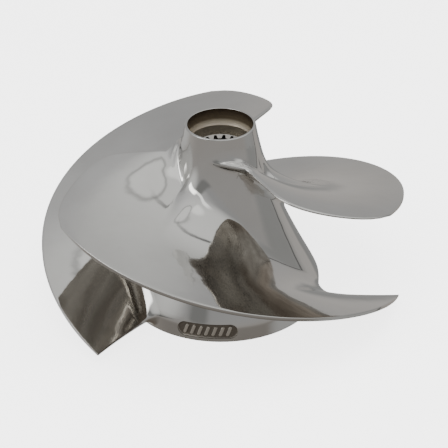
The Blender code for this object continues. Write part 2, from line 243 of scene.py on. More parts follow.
def hub_table():
    """Radius, height and length along the hub's outline, from below the aft rim up to the nose."""
    share = np.linspace(0.0, 1.0, 3000)
    radius = cubic(SKIRT_RADIUS, SKIRT_RADIUS, FLARE_HANDLE[0], NOSE_RADIUS, share)
    height = cubic(SKIRT_TOP, SHOULDER_HANDLE, FLARE_HANDLE[1], ROTOR_HEIGHT, share)
    radius = np.concatenate(([SKIRT_RADIUS], radius))
    height = np.concatenate(([-20 * MM], height))
    length = np.concatenate(([0.0], np.cumsum(np.hypot(np.diff(radius), np.diff(height)))))
    return radius, height, length


TABLE_RADIUS, TABLE_HEIGHT, TABLE_LENGTH = hub_table()


def hub_radius(height):
    return np.interp(height, TABLE_HEIGHT, TABLE_RADIUS)


def on_outline(length):
    """Radius and height at a length along the hub's outline."""
    radius = np.interp(length, TABLE_LENGTH, TABLE_RADIUS)
    height = np.interp(length, TABLE_LENGTH, TABLE_HEIGHT)
    return radius, height


def hub_slope(length):
    """Radius and height of a unit step up the hub's outline."""
    step = 0.1 * MM
    above = on_outline(length + step)
    below = on_outline(length - step)
    dr = above[0] - below[0]
    dz = above[1] - below[1]
    size = np.hypot(dr, dz)
    return dr / size, dz / size


def hub_run(top, bottom, inset=0.0, spacing=0.9 * MM):
    """Points down the hub's outside, with a short last step at each end for a true edge normal."""
    count = max(3, int((top - bottom) / spacing))
    heights = np.linspace(top, bottom, count)
    heights = np.insert(heights, 1, heights[0] - 0.03 * MM)
    heights = np.insert(heights, -1, heights[-1] + 0.03 * MM)
    return [(float(hub_radius(height)) - inset, float(height)) for height in heights]


def make_nose_collar(polished, bore):
    lip = 0.35 * MM
    run = hub_run(ROTOR_HEIGHT - lip, COLLAR_SPLIT)
    top_outer = float(hub_radius(ROTOR_HEIGHT))
    lip_outer = [
        (top_outer - lip + lip * math.sin(angle), ROTOR_HEIGHT - lip + lip * math.cos(angle))
        for angle in np.linspace(0.0, math.pi / 2, 6)[:-1]
    ]
    wall = [
        (COLLAR_BORE_RADIUS, COLLAR_SPLIT),
        (COLLAR_BORE_RADIUS, LEDGE_HEIGHT),
        (COLLAR_BORE_RADIUS + 0.18 * MM, LEDGE_HEIGHT + 0.3 * MM),
        (MOUTH_RADIUS - 0.22 * MM, MOUTH_FLOOR - 0.6 * MM),
        (MOUTH_RADIUS - 0.06 * MM, MOUTH_FLOOR),
        (MOUTH_RADIUS, MOUTH_FLOOR + 0.4 * MM),
    ]
    lip_inner = [
        (MOUTH_RADIUS + lip - lip * math.sin(angle), ROTOR_HEIGHT - lip + lip * math.cos(angle))
        for angle in np.linspace(math.pi / 2, 0.0, 6)
    ]
    outline = lip_outer + run + wall + lip_inner
    collar = lathe("nose_collar_skin", outline, polished)
    collar.data.materials.append(bore)
    mouth_edge = MOUTH_RADIUS + 0.05 * MM
    for face in collar.data.polygons:
        middle = face.center
        if math.hypot(middle.x, middle.y) < mouth_edge and middle.z < ROTOR_HEIGHT - lip / 2:
            face.material_index = 1
    return place(collar, "rotor", "polished_steel", "nose_collar")


def make_hub_cone(polished):
    outline = hub_run(COLLAR_SPLIT, SKIRT_SPLIT)
    outline += reversed(hub_run(COLLAR_SPLIT, SKIRT_SPLIT, HUB_WALL, 2.0 * MM))
    cone = lathe("hub_cone_skin", outline, polished)
    return place(cone, "rotor", "polished_steel", "hub_cone")


def make_aft_skirt(polished):
    edge = 0.4 * MM
    inner = SKIRT_RADIUS - HUB_WALL
    outline = hub_run(SKIRT_SPLIT, edge)
    outline += [
        (SKIRT_RADIUS - edge + edge * math.cos(angle), edge - edge * math.sin(angle))
        for angle in np.linspace(0.0, math.pi / 2, 6)[1:]
    ]
    outline += [
        (inner + edge - edge * math.sin(angle), edge - edge * math.cos(angle))
        for angle in np.linspace(0.0, math.pi / 2, 5)
    ]
    outline += [(inner, SKIRT_TOP), (float(hub_radius(SKIRT_SPLIT)) - HUB_WALL, SKIRT_SPLIT)]
    skirt = lathe("aft_skirt_skin", outline, polished)
    front = -1.0 * MM
    pocket = badge_slab("badge_pocket", 60, 5, lambda along, height: front, BADGE_SEAT_DEPTH, polished)
    boolean_cut(skirt, pocket)
    skirt.data.set_sharp_from_angle(angle=math.radians(28.0))
    return place(skirt, "rotor", "polished_steel", "aft_skirt")


def boolean_cut(obj, cutter):
    """Cuts one mesh by another and leaves a plain mesh."""
    modifier = obj.modifiers.new("cut", "BOOLEAN")
    modifier.operation = "DIFFERENCE"
    modifier.solver = "EXACT"
    modifier.object = cutter
    graph = bpy.context.evaluated_depsgraph_get()
    mesh = bpy.data.meshes.new_from_object(obj.evaluated_get(graph))
    obj.modifiers.clear()
    obj.data = mesh
    bpy.data.objects.remove(cutter, do_unlink=True)


# Badge


def on_skirt(along, height, depth):
    """A point of the skirt: along is measured round it from the badge's middle, depth inwards."""
    angle = BADGE_AZIMUTH + along / SKIRT_RADIUS
    radius = SKIRT_RADIUS - depth
    return radius * math.cos(angle), radius * math.sin(angle), BADGE_HEIGHT + height


def pill_half_height(along):
    """Half the height of the badge's outline at a distance along it."""
    radius = BADGE_WIDTH / 2
    beyond = max(0.0, abs(along) - (BADGE_LENGTH / 2 - radius))
    return math.sqrt(max(0.0, radius**2 - beyond**2))


def badge_stations(count):
    """Distances along the badge, closer together where its ends are round."""
    turns = np.linspace(-math.pi / 2, math.pi / 2, count)
    even = np.linspace(-1.0, 1.0, count)
    return BADGE_LENGTH / 2 * (0.35 * np.sin(turns) + 0.65 * even)


def badge_sheet(columns, rows, depth_at):
    """Points over the badge's outline, column by column, and the faces that join them."""
    verts = []
    for along in badge_stations(columns):
        reach = pill_half_height(along)
        for height in np.linspace(-reach, reach, rows):
            verts.append(on_skirt(along, height, depth_at(along, height)))
    faces = []
    for column in range(columns - 1):
        for row in range(rows - 1):
            here = column * rows + row
            faces.append((here, here + rows, here + rows + 1, here + 1))
    return verts, faces


def badge_slab(name, columns, rows, outer_depth_at, inner_depth, material, smooth_angle=30.0):
    """A closed slab over the badge's outline, with a front shaped by outer_depth_at."""
    verts, front = badge_sheet(columns, rows, outer_depth_at)
    back_verts, back = badge_sheet(columns, rows, lambda along, height: inner_depth)
    shift = len(verts)
    faces = front + [tuple(shift + corner for corner in reversed(face)) for face in back]
    low = [column * rows for column in range(columns)]
    right = [(columns - 1) * rows + row for row in range(1, rows)]
    high = [column * rows + rows - 1 for column in reversed(range(columns - 1))]
    left = list(reversed(range(1, rows - 1)))
    ring = low + right + high + left
    for here, after in zip(ring, ring[1:] + ring[:1]):
        faces.append((here, shift + here, shift + after, after))
    slab = new_piece(name, verts + back_verts, faces, material)
    weld(slab.data)
    slab.data.shade_smooth()
    slab.data.set_sharp_from_angle(angle=math.radians(smooth_angle))
    return slab


def weld(mesh):
    """Joins points that lie together, where a sheet's columns close to a point."""
    welded = bmesh.new()
    welded.from_mesh(mesh)
    bmesh.ops.remove_doubles(welded, verts=welded.verts, dist=0.001 * MM)
    welded.to_mesh(mesh)
    welded.free()


def badge_mark_distance(along, height):
    """Distance outside the nearest raised mark: plain slanted bars, evenly spaced."""
    pitch = 3.1 * MM
    lean = 0.35
    half_length = 1.55 * MM
    half_width = 0.62 * MM
    nearest = 1.0
    for index in range(MARK_COUNT):
        middle = (index - (MARK_COUNT - 1) / 2) * pitch
        across = along - middle - lean * height
        beyond = max(0.0, abs(height) - half_length)
        nearest = min(nearest, math.hypot(across / math.hypot(1.0, lean), beyond) - half_width)
    return nearest


def badge_front_depth(along, height):
    """Depth of the badge's front: raised marks and a narrow raised border over a cast floor."""
    slope = 0.22 * MM
    inside = BADGE_WIDTH / 2 - math.hypot(
        max(0.0, abs(along) - (BADGE_LENGTH - BADGE_WIDTH) / 2), height
    )
    border = 1.0 - smooth_step(inside / (0.45 * MM))
    mark = 1.0 - smooth_step(badge_mark_distance(along, height) / slope)
    rise = max(mark, 0.55 * border)
    grain = 0.02 * MM * math.sin(along / (0.31 * MM)) * math.sin(height / (0.27 * MM) + along / MM)
    return BADGE_FLOOR_DEPTH + (BADGE_MARK_DEPTH - BADGE_FLOOR_DEPTH) * rise + grain * (1.0 - rise)


def smooth_step(share):
    share = min(1.0, max(0.0, share))
    return share * share * (3.0 - 2.0 * share)


def make_badge(material):
    badge = badge_slab("name_badge_relief", 230, 64, badge_front_depth, BADGE_SEAT_DEPTH, material, 75.0)
    return place(badge, "rotor", "badge_steel", "name_badge")


# Blades


def edge_sweep(radius):
    """Degrees by which the leading edge trails its root: radial inboard, raked back, round at the rim.

    Close to the hub the edge runs forward instead, so that it fades into the hub as a ridge.
    """
    raked = KNEE_SOFTNESS * np.logaddexp(0.0, (radius - KNEE_RADIUS) / KNEE_SOFTNESS)
    corner = np.maximum(0.0, (radius - CORNER_START) / (ROTOR_RADIUS - CORNER_START)) ** 8
    ridge = RIDGE_LENGTH * ridge_share(radius) ** 2
    return EDGE_RAKE * raked + CORNER_SWEEP * corner - np.degrees(ridge / radius)


def ridge_share(radius):
    """1 where the leading edge's ridge starts on the hub, 0 where the edge stands free of it."""
    start = hub_radius(LEADING_ROOT_HEIGHT)
    return np.clip(1.0 - (radius - start) / RIDGE_RISE, 0.0, 1.2)


def inward_share(radius):
    """Distance in from the rim as a share of the rotor's radius."""
    return (ROTOR_RADIUS - radius) / ROTOR_RADIUS


def blade_end(radius):
    """Degrees from the leading edge's root to the trailing edge."""
    return BLADE_WRAP - TRAILING_SKEW * inward_share(radius)


def blade_height(degrees, radius):
    """Height of the blade's middle surface: its pitch grows towards the trailing edge.

    The ridge ahead of the leading edge's root stays nearly level.
    """
    softness = RIDGE_SOFTNESS * ridge_share(radius) ** 2
    levelled = RIDGE_LEVELLING * (np.sqrt(degrees**2 + softness**2) - degrees)
    wrap = (degrees + levelled) / BLADE_WRAP
    fall = sum(part * wrap**power for power, part in enumerate(RIM_FALL, start=1))
    rake = RAKE_AT_START - RAKE_FALL * wrap
    return RIM_START_HEIGHT - fall + rake * inward_share(radius)


def middle_point(degrees, radius):
    angle = np.radians(degrees)
    height = blade_height(degrees, radius)
    return np.stack((radius * np.cos(angle), radius * np.sin(angle), height), axis=-1)


def middle_normal(degrees, radius):
    """Unit normal of the middle surface, on its upper side."""
    outwards = middle_point(degrees, radius + 0.05 * MM) - middle_point(degrees, radius - 0.05 * MM)
    around = middle_point(degrees + 0.05, radius) - middle_point(degrees - 0.05, radius)
    return unit(np.cross(outwards, around))


def unit(vectors):
    return vectors / np.linalg.norm(vectors, axis=-1, keepdims=True)


def root_radius(share):
    """Radius at which the middle surface meets the hub, at a share of the way along the blade."""
    radius = np.full_like(share, SKIRT_RADIUS)
    for _ in range(40):
        start = edge_sweep(radius)
        degrees = start + share * (blade_end(radius) - start)
        radius = hub_radius(blade_height(degrees, radius))
    return radius


def half_thickness(share, radius):
    """Half the blade's thickness, thinner at the rim and towards both edges."""
    root = root_radius(share)
    rise = np.clip((radius - root) / (ROTOR_RADIUS - root), -0.2, 1.0)
    along = 1.0 + (RIM_THICKNESS / ROOT_THICKNESS - 1.0) * rise
    from_edge = np.minimum(1.0, np.minimum(share, 1.0 - share) / EDGE_TAPER)
    ease = 1.0 - (1.0 - from_edge) ** 2
    near_edge = np.clip(1.0 - share / RIDGE_SPAN, 0.0, 1.0) ** 2
    thinned = 1.0 - RIDGE_THINNING * near_edge * np.clip(ridge_share(radius), 0.0, 1.0)
    full = EDGE_THICKNESS_RATIO + (1.0 - EDGE_THICKNESS_RATIO) * ease
    return ROOT_THICKNESS / 2 * along * thinned * full


def section_columns():
    """The section's columns from leading to trailing edge: (turn of the nose, share of the span)."""
    turns = np.linspace(0.0, math.pi / 2, NOSE_COLUMNS + 1)
    span = np.linspace(0.0, 1.0, SPAN_COLUMNS + 1)
    leading = [(turn, 0.0) for turn in turns[:-1]]
    middle = [(math.pi / 2, share) for share in span]
    trailing = [(turn, 1.0) for turn in reversed(turns[:-1])]
    return np.array(leading + middle + trailing)


def column_share(turn, span, radius):
    """Share of the way along the blade of a column, whose nose keeps its length at every radius."""
    start = edge_sweep(radius)
    chord = radius * np.radians(blade_end(radius) - start) * CHORD_SLANT
    edge_half = half_thickness(np.zeros_like(radius), radius)
    nose = EDGE_ROUND_LENGTH * edge_half / chord
    into_nose = nose * (1.0 - np.cos(turn))
    between = nose + span * (1.0 - 2.0 * nose)
    return np.where(span <= 0.0, into_nose, np.where(span >= 1.0, 1.0 - into_nose, between))


def blade_surface(loop, radius, squeeze=0.0):
    """Points of the blade's skin. loop holds turn, span and side (1 above, -1 below) of each column."""
    turn, span, side = loop
    share = column_share(turn, span, radius)
    start = edge_sweep(radius)
    degrees = start + share * (blade_end(radius) - start)
    thickness = half_thickness(share, radius) * np.sin(turn) - squeeze
    offset = (side * thickness)[..., None] * middle_normal(degrees, radius)
    return middle_point(degrees, radius) + offset


def distance_from_axis(points):
    return np.hypot(points[..., 0], points[..., 1])


def blade_loop():
    """Columns all the way round the section: above, from the trailing edge forward, then below."""
    columns = section_columns()
    above = columns[::-1]
    below = columns[1:-1]
    turn = np.concatenate((above[:, 0], below[:, 0]))
    span = np.concatenate((above[:, 1], below[:, 1]))
    side = np.concatenate((np.ones(len(above)), -np.ones(len(below))))
    return turn, span, side


def radius_on_hub(loop):
    """Radius at which each column of the skin meets the hub, by halving an interval."""
    turn, span, side = loop
    guess = root_radius(span)
    low = guess - 7 * MM
    high = guess + 7 * MM
    for _ in range(36):
        middle = (low + high) / 2
        points = blade_surface(loop, middle)
        inside = distance_from_axis(points) < hub_radius(points[..., 2])
        low = np.where(inside, middle, low)
        high = np.where(inside, high, middle)
    return (low + high) / 2


def radius_at_rim(loop, target, squeeze=0.0):
    """Parameter radius at which each column reaches a true distance from the axis."""
    radius = target
    for _ in range(5):
        radius = radius + target - distance_from_axis(blade_surface(loop, radius, squeeze))
    return radius


def fillet_reach(loop, above, below):
    """Reach of the root fillet at each column, from its values on the faces and round the edges."""
    turn, span, side = loop
    size = np.where(side > 0, above, below)
    tip = np.where(span < 0.5, LEADING_FILLET, TRAILING_FILLET)
    size = size + (tip - size) * np.cos(turn) ** 2
    for _ in range(6):
        size = (np.roll(size, 1) + 2.0 * size + np.roll(size, -1)) / 4.0
    return size


def share_between(value, bounds):
    """0 up to the lower bound, 1 from the upper one, and in proportion between them."""
    return np.clip((value - bounds[0]) / (bounds[1] - bounds[0]), 0.0, 1.0)


def fillet_sizes(loop):
    """Reach of the root fillet up the hub and out along the blade.

    The blade's upper face is hollowed a long way out, so the fillet reaches furthest along it there.
    """
    run = loop[1] * BLADE_WRAP
    grow = share_between(run, FILLET_GAIN)
    grow = grow * grow * (3.0 - 2.0 * grow)
    widen = share_between(run, HOLLOW_GAIN)
    fade = share_between(run, FILLET_LOSS)

    def size_along(sizes, gain):
        return sizes[0] + sizes[1] * gain - sizes[2] * fade

    below = size_along(FILLET_BELOW, grow)
    on_hub = fillet_reach(loop, size_along(FILLET_UP_HUB, grow), below)
    on_blade = fillet_reach(loop, size_along(FILLET_HOLLOW, widen), below)
    return on_hub, on_blade


def eased_reach(size, up, length, height):
    """A fillet's reach over the hub, eased off where it would come near the nose or the aft rim."""
    room_below = (height - RIM_MARGIN) / np.maximum(-up, 0.001)
    nose_length = np.interp(ROTOR_HEIGHT - COLLAR_MARGIN, TABLE_HEIGHT, TABLE_LENGTH)
    room_above = (nose_length - length) / np.maximum(up, 0.001)
    room = np.where(up < 0.0, room_below, room_above)
    return room * np.tanh(size / room)


def hub_frame(length, angle):
    """Points of the hub's outside, and its directions up the outline and round the axis there."""
    radius, height = on_outline(length)
    slope_r, slope_z = hub_slope(length)
    cosine = np.cos(angle)
    sine = np.sin(angle)
    point = np.stack((radius * cosine, radius * sine, height), axis=-1)
    climb = np.stack((slope_r * cosine, slope_r * sine, slope_z), axis=-1)
    turn_way = np.stack((-sine, cosine, np.zeros_like(sine)), axis=-1)
    return point, climb, turn_way


def root_fillet(loop, radius):
    """Rows of points from the hub up to the blade's faces, tangent to both.

    Also the skin's end inside the hub, the hub's normals, and where the faces start.
    """
    corner = blade_surface(loop, radius)
    size, reach = fillet_sizes(loop)
    length = np.interp(corner[:, 2], TABLE_HEIGHT, TABLE_LENGTH)
    angle = np.unwrap(np.arctan2(corner[:, 1], corner[:, 0]))
    along = np.roll(length, -1) - np.roll(length, 1)
    around = (np.roll(angle, -1) - np.roll(angle, 1)) * distance_from_axis(corner)
    norm = np.hypot(along, around)
    up = -around / norm
    sideways = along / norm
    size = eased_reach(size, up, length, corner[:, 2])
    halfway = on_outline(length + size * up / 2)[0]
    foot, climb, turn_way = hub_frame(length + size * up, angle + size * sideways / halfway)
    hub_normal = unit(np.cross(turn_way, climb))
    away = unit(up[:, None] * climb + sideways[:, None] * turn_way)
    step = 0.05 * MM
    pace = np.linalg.norm(blade_surface(loop, radius + step) - corner, axis=-1) / step
    top_radius = radius + reach / pace
    top = blade_surface(loop, top_radius)
    inwards = unit(blade_surface(loop, top_radius - step) - top)
    foot_pull = FILLET_ROUNDNESS * np.linalg.norm(foot - corner, axis=-1)
    top_pull = FILLET_ROUNDNESS * np.linalg.norm(top - corner, axis=-1)
    foot_handle = foot - away * foot_pull[:, None]
    top_handle = top + inwards * top_pull[:, None]
    shares = np.linspace(0.0, 1.0, FILLET_ROWS + 1)[:-1]
    rows = [cubic(foot, foot_handle, top_handle, top, share) for share in shares]
    rows[0] = rows[0] - FOOT_SINK * hub_normal
    # The wall is thin at the nose, so the skin ends nearer to the hub's outside there.
    wall = distance_from_axis(foot) - MOUTH_RADIUS
    depth = np.clip(wall - LEAST_BURIAL, LEAST_BURIAL, MOST_BURIAL)
    buried = foot - depth[:, None] * hub_normal
    return rows, buried, hub_normal, top_radius


def blade_rows(loop):
    """Rows of points from inside the hub out to the rim, and the hub's normals along the foot."""
    fillet, buried, hub_normal, start = root_fillet(loop, radius_on_hub(loop))
    rim_half = half_thickness(loop[1], np.full_like(start, ROTOR_RADIUS)) * np.sin(loop[0])
    edge = RIM_ROUNDING * rim_half
    end = radius_at_rim(loop, ROTOR_RADIUS - edge)
    rows = [buried] + fillet
    for share in np.linspace(0.0, 1.0, FACE_ROWS + 1):
        rows.append(blade_surface(loop, start + share * (end - start)))
    for turn in np.linspace(0.0, math.pi / 2, RIM_EDGE_ROWS + 1)[1:]:
        squeeze = edge * (1.0 - math.cos(turn))
        target = ROTOR_RADIUS - edge * (1.0 - math.sin(turn))
        rows.append(blade_surface(loop, radius_at_rim(loop, target, squeeze), squeeze))
    return rows, hub_normal


def closing_faces(row_start, loop_size, inwards):
    """Faces that join a row's upper columns to its lower ones; a shared corner counts once."""
    half = loop_size // 2
    faces = []
    for index in range(half):
        above = (row_start + half - index, row_start + half - index - 1)
        below = (row_start + half + index, row_start + (half + index + 1) % loop_size)
        face = list(dict.fromkeys((*below, *reversed(above))))
        faces.append(tuple(reversed(face)) if inwards else tuple(face))
    return faces


def make_blade(number, material):
    """One blade with its root fillets, turned to its place round the hub."""
    loop = blade_loop()
    rows, hub_normal = blade_rows(loop)
    size = len(loop[0])
    faces = closing_faces(0, size, True)
    for row in range(len(rows) - 1):
        here = row * size
        for column in range(size):
            after = (column + 1) % size
            faces.append((here + column, here + after, here + size + after, here + size + column))
    faces += closing_faces((len(rows) - 1) * size, size, False)
    azimuth = math.radians(FIRST_BLADE_AZIMUTH + (number - 1) * 360.0 / BLADE_COUNT)
    turn = np.array(Matrix.Rotation(azimuth, 3, "Z"))
    verts = np.concatenate(rows) @ turn.T
    blade = new_piece(f"blade_{number}_skin", verts, faces, material)
    normals = np.zeros(len(verts) * 3)
    blade.data.vertex_normals.foreach_get("vector", normals)
    normals = normals.reshape(-1, 3)
    normals[size : 2 * size] = hub_normal @ turn.T
    blade.data.normals_split_custom_set_from_vertices(normals)
    return place(blade, "rotor", "polished_steel", f"blade_{number}")


# Core of the hub


def make_spline_sleeve(material):
    """The toothed bore, with a lead-in chamfer across the tooth ends."""
    teeth = 18
    phase = math.radians(12.0)
    foot_radius = 10.9 * MM
    tip_radius = 9.7 * MM
    lead_in_radius = 11.2 * MM
    lead_in_depth = 1.2 * MM
    fillet = 0.06 * MM
    edge = 0.15 * MM
    seat_radius = COLLAR_BORE_RADIUS + 0.1 * MM
    pitch = math.tau / teeth
    flank = (
        (0.20, tip_radius),
        (0.23, tip_radius + fillet),
        (0.29, (foot_radius + tip_radius) / 2),
        (0.35, foot_radius - fillet),
        (0.38, foot_radius),
        (0.50, foot_radius),
    )
    shape = [(-share, radius) for share, radius in reversed(flank)]
    shape += [(0.0, tip_radius), *flank[:-1]]
    inner = {}
    for tooth in range(teeth):
        for share, radius in shape:
            inner[phase + pitch * (tooth + share)] = radius

    def outline_at(angle):
        radius = inner[angle]
        drop = (lead_in_radius - radius) / (lead_in_radius - tip_radius) * lead_in_depth
        return [
            (seat_radius, SLEEVE_TOP - edge),
            (seat_radius, COLLAR_SPLIT + 2 * MM),
            (SLEEVE_RADIUS, COLLAR_SPLIT + 2 * MM),
            (SLEEVE_RADIUS, SLEEVE_BOTTOM),
            (radius, SLEEVE_BOTTOM),
            (radius, SLEEVE_TOP - drop),
            (lead_in_radius, SLEEVE_TOP),
            (seat_radius - edge, SLEEVE_TOP),
        ]

    sleeve = turned("spline_sleeve_skin", outline_at, list(inner), material, 22.0)
    return place(sleeve, "rotor", "machined_steel", "spline_sleeve")


def make_thread_boss(material):
    """The boss with a helical thread in its bore."""
    steps = 96
    minor_radius = 10.2 * MM
    depth = 0.85 * MM
    pitch = 1.5 * MM
    thread_bottom = 6.0 * MM
    thread_top = 27.5 * MM
    counterbore = 12.6 * MM
    shaft_stop = 6.5 * MM
    shoulder = 2.0 * MM
    edge = 0.4 * MM
    heights = np.arange(thread_bottom + edge, thread_top - edge, pitch / 8)

    def thread_radius(angle, height):
        phase = ((height - thread_bottom) / pitch - angle / math.tau) % 1.0
        groove = max(0.0, 1.0 - abs(phase - 0.5) / 0.44)
        fade = min(1.0, (height - thread_bottom) / pitch, (thread_top - height) / pitch)
        return minor_radius + depth * min(1.0, 1.15 * groove) * fade

    def outline_at(angle):
        outer = [
            (BOSS_RADIUS - shoulder, BOSS_TOP),
            (BOSS_RADIUS, BOSS_TOP - shoulder),
            (BOSS_RADIUS, BOSS_BOTTOM + edge),
            (BOSS_RADIUS - edge, BOSS_BOTTOM),
            (counterbore + edge, BOSS_BOTTOM),
            (counterbore, BOSS_BOTTOM + edge),
            (counterbore, thread_bottom),
            (minor_radius + depth, thread_bottom),
        ]
        thread = [(thread_radius(angle, height), float(height)) for height in heights]
        inner = [(minor_radius, thread_top), (shaft_stop, thread_top), (shaft_stop, BOSS_TOP)]
        return outer + thread + inner

    angles = [math.tau * step / steps for step in range(steps)]
    boss = turned("thread_boss_skin", outline_at, angles, material, 30.0)
    return place(boss, "rotor", "machined_steel", "thread_boss")


def make_drive_damper(material):
    hole = 3.0 * MM
    corners = [
        (DAMPER_RADIUS, DAMPER_TOP),
        (DAMPER_RADIUS, DAMPER_BOTTOM),
        (hole, DAMPER_BOTTOM),
        (hole, DAMPER_TOP),
    ]
    damper = lathe("drive_damper_skin", rounded(corners, 1.0 * MM), material, 96, 50.0)
    return place(damper, "damper", "rubber", "drive_damper")


def make_boss_o_ring(material):
    low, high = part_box("boss_o_ring")
    section = (high.z - low.z) / 2
    middle = high.x - section
    outline = [
        (middle + section * math.cos(angle), low.z + section - section * math.sin(angle))
        for angle in np.linspace(0.0, math.tau, 21)[:-1]
    ]
    ring = lathe("boss_o_ring_skin", outline, material, 120, 180.0)
    return place(ring, "rotor", "rubber", "boss_o_ring")


def make_thrust_washer(material):
    """The bronze washer, with four oil grooves across its aft face."""
    inner = 11.8 * MM
    edge = 0.3 * MM
    groove_depth = 0.6 * MM
    steps = 320
    grooves = 4
    steps_apart = steps // grooves
    half_width = 4

    def outline_at(angle):
        step = round(angle / math.tau * steps)
        past_groove = (step + steps_apart // 2) % steps_apart
        from_groove = min(past_groove, steps_apart - past_groove)
        bottom = WASHER_BOTTOM + (groove_depth if from_groove < half_width else 0.0)
        return [
            (WASHER_RADIUS, WASHER_TOP),
            (WASHER_RADIUS, bottom + edge),
            (WASHER_RADIUS - edge, bottom),
            (inner + edge, bottom),
            (inner, bottom + edge),
            (inner, WASHER_TOP),
        ]

    angles = [math.tau * step / steps for step in range(steps)]
    washer = turned("thrust_washer_skin", outline_at, angles, material, 30.0)
    return place(washer, "pump_side", "bronze", "thrust_washer")


# Materials


class Nodes:
    """A material and short ways to add and join its nodes."""

    def __init__(self, name):
        self.material = bpy.data.materials.new(name)
        self.material.use_nodes = True
        self.tree = self.material.node_tree
        self.shader = self.tree.nodes["Principled BSDF"]
        coordinates = self.add("TexCoord")
        self.position = coordinates.outputs["Object"]
        self.facing = coordinates.outputs["Normal"]

    def add(self, kind, **inputs):
        node = self.tree.nodes.new(f"ShaderNode{kind}")
        for name, value in inputs.items():
            node.inputs[name.replace("_", " ")].default_value = value
        return node

    def link(self, source, target):
        self.tree.links.new(source, target)

    def noise(self, scale, detail=2.0, stretch=None):
        """A noise over the piece, with scale in bumps per metre, stretched along an axis if asked."""
        texture = self.add("TexNoise", Scale=scale, Detail=detail, Roughness=0.55)
        if stretch is None:
            self.link(self.position, texture.inputs["Vector"])
        else:
            mapping = self.add("Mapping", Scale=stretch)
            self.link(self.position, mapping.inputs["Vector"])
            self.link(mapping.outputs["Vector"], texture.inputs["Vector"])
        return texture.outputs["Fac"]

    def ramp(self, factor, *stops):
        """Colours (or greys) at places from 0 to 1."""
        node = self.add("ValToRGB")
        ramp = node.color_ramp
        while len(ramp.elements) < len(stops):
            ramp.elements.new(0.5)
        for element, (stop, value) in zip(ramp.elements, stops):
            element.position = stop
            grey = not hasattr(value, "__len__")
            element.color = (value, value, value, 1.0) if grey else (*value, 1.0)
        self.link(factor, node.inputs["Fac"])
        return node.outputs["Color"]

    def spread(self, value, low, high, new_low=0.0, new_high=1.0):
        """A value moved from one range to another."""
        node = self.add("MapRange", From_Min=low, From_Max=high, To_Min=new_low, To_Max=new_high)
        self.link(value, node.inputs["Value"])
        return node.outputs["Result"]

    def blend(self, share, start, end):
        """start where share is 0 and end where it is 1."""
        node = self.add("Mix")
        node.data_type = "RGBA"
        self.link(share, node.inputs["Factor"])
        self.link(start, node.inputs["A"])
        self.link(end, node.inputs["B"])
        return node.outputs["Result"]

    def bump(self, *layers):
        """Bump layers of (height, strength, distance), one on top of the other."""
        normal = None
        for height, strength, distance in layers:
            node = self.add("Bump", Strength=strength, Distance=distance)
            self.link(height, node.inputs["Height"])
            if normal is not None:
                self.link(normal, node.inputs["Normal"])
            normal = node.outputs["Normal"]
        self.link(normal, self.shader.inputs["Normal"])

    def set(self, **inputs):
        """Fixed values of the shader's inputs."""
        for name, value in inputs.items():
            self.shader.inputs[name.replace("_", " ")].default_value = value

    def feed(self, colour, roughness=None):
        """Joins what varies over the surface to the shader."""
        self.link(colour, self.shader.inputs["Base Color"])
        if roughness is not None:
            self.link(roughness, self.shader.inputs["Roughness"])


def polished_steel():
    """Hand-polished stainless: a slightly wavy mirror with fine wheel marks and hazy patches.

    Faces that look down are rougher and streaked, and their colour is painted darker and browner as
    painted shade.
    """
    nodes = Nodes("polished_steel")
    nodes.set(Metallic=1.0)
    axes = nodes.add("SeparateXYZ")
    nodes.link(nodes.facing, axes.inputs["Vector"])
    # Share of looking down: it paints shade into the colour and makes the surface rougher.
    underside_shade_and_dullness = nodes.spread(axes.outputs["Z"], -0.05, -0.45)
    clouds = nodes.noise(38.0, 3.0)
    streaks = nodes.noise(90.0, 2.0, (1.0, 1.0, 0.35))
    bright = nodes.ramp(clouds, (0.30, (0.555, 0.55, 0.535)), (0.72, (0.61, 0.607, 0.595)))
    # Painted shade: this darker brown stands in for the shade on faces that look down.
    shaded_brown = nodes.ramp(streaks, (0.35, (0.38, 0.345, 0.30)), (0.68, (0.64, 0.60, 0.54)))
    haze = nodes.spread(clouds, 0.3, 0.75, 0.04, 0.09)
    rough = nodes.spread(clouds, 0.3, 0.75, 0.16, 0.30)
    nodes.feed(nodes.blend(underside_shade_and_dullness, bright, shaded_brown), nodes.blend(underside_shade_and_dullness, haze, rough))
    waves = nodes.noise(62.0, 1.0)
    ripples = nodes.noise(170.0, 1.0)
    marks = nodes.noise(900.0, 4.0, (1.0, 1.0, 0.12))
    nodes.bump((waves, 0.25, 0.0005), (ripples, 0.08, 0.0004), (marks, 0.03, 0.0001))
    return nodes.material


def bore_steel():
    """The nose's bores: turned rings, painted near-black along the mouth's upper wall as painted shade,
    painted light at the ledge as a painted highlight, and brown further in.
    """
    nodes = Nodes("bore_steel")
    nodes.set(Metallic=1.0)
    axes = nodes.add("SeparateXYZ")
    nodes.link(nodes.position, axes.inputs["Vector"])
    depth = nodes.spread(axes.outputs["Z"], ROTOR_HEIGHT - 14 * MM, ROTOR_HEIGHT)
    stains = nodes.noise(420.0, 3.0)
    # Painted shade and highlight by height: near-black along the mouth's upper wall, light at the ledge
    # and its chamfer, brown further in.
    metal = nodes.ramp(
        depth,
        (0.10, (0.34, 0.31, 0.25)),
        (0.44, (0.42, 0.38, 0.31)),
        (0.46, (0.72, 0.65, 0.55)),
        (0.60, (0.66, 0.60, 0.49)),
        (0.66, (0.27, 0.22, 0.155)),
        (0.96, (0.07, 0.05, 0.034)),
    )
    nodes.feed(metal, nodes.spread(stains, 0.3, 0.7, 0.52, 0.66))
    rings = nodes.noise(1400.0, 2.0, (0.02, 0.02, 1.0))
    nodes.bump((rings, 0.35, 0.0002), (stains, 0.08, 0.0002))
    return nodes.material


